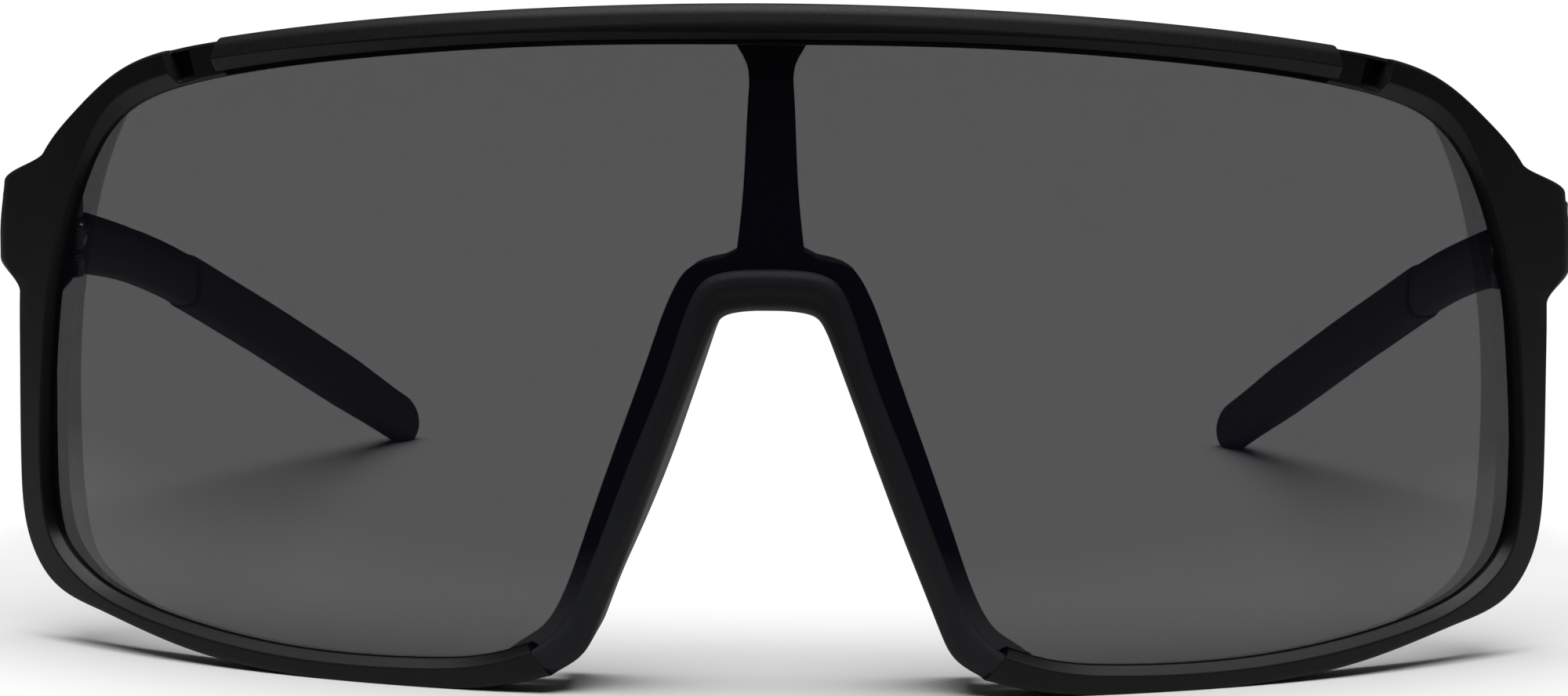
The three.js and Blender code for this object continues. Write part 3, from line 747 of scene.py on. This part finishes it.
def arch_loft(section_at, spacing, trim=0.0):
    """Rings of a section along the arch, between the edge of the lens and the nose side."""
    places = LENS_LINE.places(spacing)[int(trim / spacing):]
    places = places[:len(places) - int(trim / spacing)]
    rings = []
    for near, far in zip(LENS_LINE.at(places), NOSE_LINE.at(places)):
        section = section_at(float(np.linalg.norm(far - near)), near[1])
        rings.append(across(near, far, section))
    return rings


def saddle_section(width, height):
    """Section of the saddle. Toward the lobes its front rises until it is flush with the rim's face,
    and its back leans away from the nose."""
    low = 1 - smoothstep(6, 22, height)
    flush = 1 - smoothstep(2.6, 8, height)
    lean = lerp(0.3, 1.3, low)
    crest = lerp(1.15, 0.9, low)
    back = width - lean
    return rounded([
        (SEAM, 4.2, 0.05, 1), (SEAM, LENS_FRONT - SEAM, 0.02, 1),
        (-LENS_OVERLAP, LENS_FRONT - SEAM, 0.02, 1),
        (-LENS_OVERLAP, lerp(1.2, 0.5, flush), 0.25, 3),
        (lerp(0.3, 0.1, flush), lerp(0.85, 0.04, flush), 0.2, 4), (crest, lerp(0.75, 0, flush), 0.3, 4),
        (lerp(crest, width, 0.38), lerp(1.15, 0, flush), 0.3, 4),
        (width - lerp(0.62, 0.85, low), lerp(1.3, 0, flush), 0.3, 4),
        (width, lerp(lerp(2.4, 2.2, low), 1.1, flush), 0.75, 6), (back, PAD_BACK, 0.5, 5),
        (min(0.3, back - 1.6), PAD_BACK, 0.5, 4),
        (min(0.3, back - 1.6), CLIP_BACK + 0.3, 0.1, 1), (0.75, CLIP_BACK + 0.3, 0.1, 1),
        (0.75, 4.2, 0.1, 1),
    ])


def nose_pad():
    piece = make_object("pad", *loft(above_floor(arch_loft(saddle_section, 0.5))))
    return finish_piece(piece, "nose_pad", "front", "soft_rubber", RUBBER)


def nose_pad_clip():
    rings = arch_loft(lambda width, height: rounded([
        (0.1, CLIP_FRONT, 0.1, 3), (0.65, CLIP_FRONT, 0.1, 3),
        (0.65, CLIP_BACK, 0.1, 3), (0.1, CLIP_BACK, 0.1, 3),
    ]), 0.6, trim=1.0)
    piece = make_object("clip", *loft(rings))
    return finish_piece(piece, "nose_pad_clip", "front", "gloss_nylon", GLOSS)


# ---- temples -------------------------------------------------------------------------------------
TEMPLE_CURVE = Spline(TEMPLE_LINE, [point[1] for point in TEMPLE_LINE])


def oval(width, height, squareness=0.62, points=44):
    """Oval section of a temple, about its middle. A squareness of 1 gives an ellipse."""
    def squared(value, size):
        return math.copysign(abs(value)**squareness, value) * size / 2

    angles = [2 * math.pi * (i + 0.5) / points for i in range(points)]
    return [Vector((squared(math.cos(a), width), squared(math.sin(a), height))) for a in angles]


def temple_rings(side, backs, size_at):
    """Upright rings along a temple, at distances behind the butt plane."""
    rings = []
    for back in backs:
        x, _, z = TEMPLE_CURVE.at(back)[0]
        section = oval(*size_at(back), squareness=lerp(0.62, 1.0, smoothstep(108, 124, back)))
        rings.append([Vector((side * (x + p.x), HINGE_Y + back, z + p.y)) for p in section])
    return rings


def arm_size(back):
    slimmed = smoothstep(0, 40, back)
    edge = 0.28 * (1 - min(1.0, (back - BUTT_GAP) / 0.28))**2
    step = 0.35 * smoothstep(GRIP_START - 0.6, GRIP_START - GRIP_GAP, back)
    return lerp(4.4, 3.4, slimmed) - 2 * edge - step, lerp(6.6, 5.4, slimmed) - 2 * edge - step


def grip_size(back):
    past = max(0.0, back - (TIP_END - TIP_RADIUS)) / TIP_RADIUS
    tip = math.sqrt(max(0.0, 1 - past**2))
    swell = smoothstep(GRIP_START, 106, back)
    edge = 0.25 * (1 - min(1.0, (back - GRIP_START) / 0.4))**2
    return (lerp(3.9, 4, swell) - 2 * edge) * tip, (lerp(5.7, 6, swell) - 2 * edge) * tip


def lathe_object(name, profile, place=(0, 0, 0), turn=Matrix()):
    return make_object(name, *lathe(profile), transform=Matrix.Translation(place) @ turn)


def rod(radius, low, high, place, turn=Matrix()):
    return lathe_object("rod", [(0, low), (radius, low), (radius, high), (0, high)], place, turn)


def temple_arm(side):
    backs = [BUTT_GAP + 0.28 * k / 4 for k in range(4)] + list(np.linspace(0.6, 55, 74))
    backs += list(np.linspace(55.2, GRIP_START - GRIP_GAP, 7))
    shaft = make_object("arm", *loft(temple_rings(side, backs, arm_size)))
    tongue = temple_rings(side, np.linspace(52, 118, 40), lambda back: (1.8, 3))
    combine(shaft, make_object("tongue", *loft(tongue)), "UNION")
    hinge = (side * HINGE_X, HINGE_Y, 0)
    combine(shaft, rod(BARREL_ROOM, 30.5, 40.9, hinge), "DIFFERENCE")
    return shaft


def temple_grip(side):
    straight = list(np.linspace(GRIP_START + 0.4, TIP_END - TIP_RADIUS, 80))
    start = [GRIP_START + 0.4 * k / 4 for k in range(4)]
    tip = [TIP_END - TIP_RADIUS * (1 - math.sin(math.radians(a))) for a in range(8, 90, 8)]
    rings = temple_rings(side, start + straight + tip + [TIP_END - 0.01], grip_size)
    grip = make_object("grip", *loft(above_floor(rings)))
    hole = temple_rings(side, np.linspace(GRIP_START - 1, 118.3, 40), lambda back: (2.4, 3.6))
    return combine(grip, make_object("hole", *loft(hole)), "DIFFERENCE")


# ---- hinges --------------------------------------------------------------------------------------
def leaf_plate(side, end):
    """The plate of a leaf, from the hinge axis to its rounded far end."""
    rings = []
    for shrink, x in ((0.12, LEAF_INNER_X), (0, LEAF_INNER_X + 0.12), (0, LEAF_OUTER_X - 0.12),
                      (0.12, LEAF_OUTER_X)):
        low, high = KNUCKLES["lower"][0] + shrink, KNUCKLES["upper"][1] - shrink
        far = LEAF_REACH - shrink
        outline = rounded([(0, low, 0, 0), (far, low, 1.1, 6), (far, high, 1.1, 6), (0, high, 0, 0)])
        rings.append([Vector((side * x, HINGE_Y + end * y, z)) for y, z in outline])
    return make_object("leaf", *loft(rings))


def hinge_leaf(side, end):
    """A plate with its knuckles: two outer ones on the front, a middle one on the temple."""
    hinge = (side * HINGE_X, HINGE_Y, 0)
    lower, middle, upper = KNUCKLES["lower"], KNUCKLES["middle"], KNUCKLES["upper"]
    leaf = leaf_plate(side, end)
    spans = [lower, upper] if end < 0 else [middle]
    edge = 0.12
    free = [(lower[1], upper[0])] if end < 0 else [(lower[0] - 1, middle[0]), (middle[1], upper[1] + 1)]
    for low, high in free:
        combine(leaf, rod(BARREL_ROOM, low, high, hinge), "DIFFERENCE")
    for low, high in spans:
        barrel = [(0, low), (BARREL_RADIUS - edge, low), (BARREL_RADIUS, low + edge),
                  (BARREL_RADIUS, high - edge), (BARREL_RADIUS - edge, high), (0, high)]
        combine(leaf, lathe_object("barrel", barrel, hinge), "UNION")
    combine(leaf, rod(BORE_RADIUS, lower[0] - 1, upper[1] + 1, hinge), "DIFFERENCE")
    sideways = Matrix.Rotation(math.radians(90), 4, "Y")
    hole = (side * (LEAF_INNER_X + LEAF_OUTER_X) / 2, HINGE_Y + end * LEAF_SCREW_BACK, HINGE_Z)
    return combine(leaf, rod(0.9, -2, 2, hole, sideways), "DIFFERENCE")


def slotted(screw, place, turn, top):
    """Cuts a straight slot into a screw's head."""
    reach, half, deep = 3.0, 0.16, 0.35
    plan = [(-reach, -half), (reach, -half), (reach, half), (-reach, half)]
    rings = [[Vector((x, y, z)) for x, y in plan] for z in (top - deep, top + 1)]
    cutter = make_object("slot", *loft(rings), transform=Matrix.Translation(place) @ turn)
    return combine(screw, cutter, "DIFFERENCE")


def hinge_screw(side):
    place = (side * HINGE_X, HINGE_Y, 0)
    profile = [(0, 31.9), (0.4, 31.9), (0.55, 32.05), (0.55, 39.8), (1.17, 39.8), (1.25, 39.88),
               (1.25, 40.25), (1.2, 40.38), (1.05, 40.5), (0.8, 40.57), (0, 40.6)]
    turn = Matrix.Rotation(math.radians(side * 25), 4, "Z")
    return slotted(lathe_object("pin", profile, place), place, turn, 40.6)


def hinge_washer(side, low, high):
    edge = 0.06
    profile = [(0, low), (BARREL_RADIUS - edge, low), (BARREL_RADIUS, low + edge),
               (BARREL_RADIUS, high - edge), (BARREL_RADIUS - edge, high), (0, high)]
    place = (side * HINGE_X, HINGE_Y, 0)
    washer = lathe_object("washer", profile, place)
    return combine(washer, rod(BORE_RADIUS, low - 1, high + 1, place), "DIFFERENCE")


def leaf_screw(side, end):
    """A pan-head screw from the inner side, through the leaf into the plastic."""
    place = (side * (LEAF_INNER_X - 0.3), HINGE_Y + end * LEAF_SCREW_BACK, HINGE_Z)
    profile = [(0, -4), (0.3, -4), (0.6, -3.5), (0.6, 0), (1.12, 0), (1.2, 0.08), (1.2, 0.3),
               (1.14, 0.42), (0.95, 0.52), (0.7, 0.58), (0, 0.6)]
    inward = Matrix.Rotation(math.radians(-90 * side), 4, "Y")
    turn = inward @ Matrix.Rotation(math.radians(35 + 50 * end), 4, "Z")
    return slotted(lathe_object("screw", profile, place, inward), place, turn, 0.6)


def temple_pieces(name, side):
    """The pieces of one side, with the hinge's fixed half and pins on the front."""
    front, temple = "front", f"{name}_temple"
    finish_piece(temple_arm(side), f"{name}_temple_arm", temple, "matte_nylon", NYLON)
    finish_piece(temple_grip(side), f"{name}_temple_grip", temple, "soft_rubber", GRIP_RUBBER_PAINTED_LIT)
    finish_piece(hinge_leaf(side, -1), f"{name}_hinge_front_leaf", front, "steel", STEEL)
    finish_piece(hinge_leaf(side, 1), f"{name}_hinge_temple_leaf", temple, "steel", STEEL)
    finish_piece(hinge_screw(side), f"{name}_hinge_screw", front, "steel", STEEL)
    finish_piece(leaf_screw(side, -1), f"{name}_front_leaf_screw", front, "steel", STEEL)
    finish_piece(leaf_screw(side, 1), f"{name}_temple_leaf_screw", temple, "steel", STEEL)
    for place, (low, high) in WASHERS.items():
        washer = hinge_washer(side, low, high)
        finish_piece(washer, f"{name}_hinge_washer_{place}", front, "dark_nylon", WASHER)


# ---- floor, light and camera ---------------------------------------------------------------------
def floor():
    reach, height = 4000, -0.02
    plan = [(-reach, -reach), (reach, -reach), (reach, reach), (-reach, reach)]
    made = make_object("floor", [Vector((x, y, height)) for x, y in plan], [[0, 1, 2, 3]])
    made.data.materials.append(pale_floor())


def studio_light():
    """A broad soft light from above, leaning toward the back."""
    sun = bpy.data.lights.new("overhead", "SUN")
    sun.energy = 3.5
    sun.angle = math.radians(60)
    lamp = bpy.data.objects.new("overhead", sun)
    lamp.rotation_euler = Euler((math.radians(8), 0, 0))
    bpy.context.scene.collection.objects.link(lamp)


def white_room():
    """White where the camera sees it, and dim in reflections, most of all in front."""
    world = bpy.data.worlds.new("studio")
    bpy.context.scene.world = world
    world.use_nodes = True
    nodes, links = world.node_tree.nodes, world.node_tree.links
    background = nodes["Background"]
    background.inputs["Color"].default_value = (1.0, 1.0, 1.0, 1.0)
    place = nodes.new("ShaderNodeTexCoord")
    axes = nodes.new("ShaderNodeSeparateXYZ")
    links.new(place.outputs["Generated"], axes.inputs["Vector"])
    toward_back = nodes.new("ShaderNodeMapRange")
    toward_back.inputs["From Min"].default_value = -0.1
    toward_back.inputs["From Max"].default_value = 0.3
    toward_back.inputs["To Min"].default_value = 0.02
    toward_back.inputs["To Max"].default_value = 0.11
    links.new(axes.outputs["Y"], toward_back.inputs["Value"])
    seen = nodes.new("ShaderNodeLightPath")
    strength = nodes.new("ShaderNodeMapRange")
    links.new(seen.outputs["Is Camera Ray"], strength.inputs["Value"])
    links.new(toward_back.outputs["Result"], strength.inputs["To Min"])
    strength.inputs["To Max"].default_value = 1.0
    links.new(strength.outputs["Result"], background.inputs["Strength"])


def camera():
    """A long lens at the front, a little to the right and above."""
    data = bpy.data.cameras.new("camera")
    data.lens = 115.5
    data.clip_end = 20.0
    made = bpy.data.objects.new("camera", data)
    made.location = (0.0147, -0.5129, 0.0789)
    tilt = Euler((math.radians(83.56), 0, math.radians(1.79))).to_matrix()
    made.rotation_euler = (tilt @ Matrix.Rotation(math.radians(0.3), 3, "Z")).to_euler()
    bpy.context.scene.collection.objects.link(made)
    bpy.context.scene.camera = made


bpy.context.scene.view_settings.view_transform = "Standard"
front_frame()
brow_bar()
shield_lens()
nose_bridge()
nose_pad()
nose_pad_clip()
for side_name, side_sign in SIDES.items():
    temple_pieces(side_name, side_sign)
floor()
studio_light()
white_room()
camera()

bpy.context.view_layer.update()
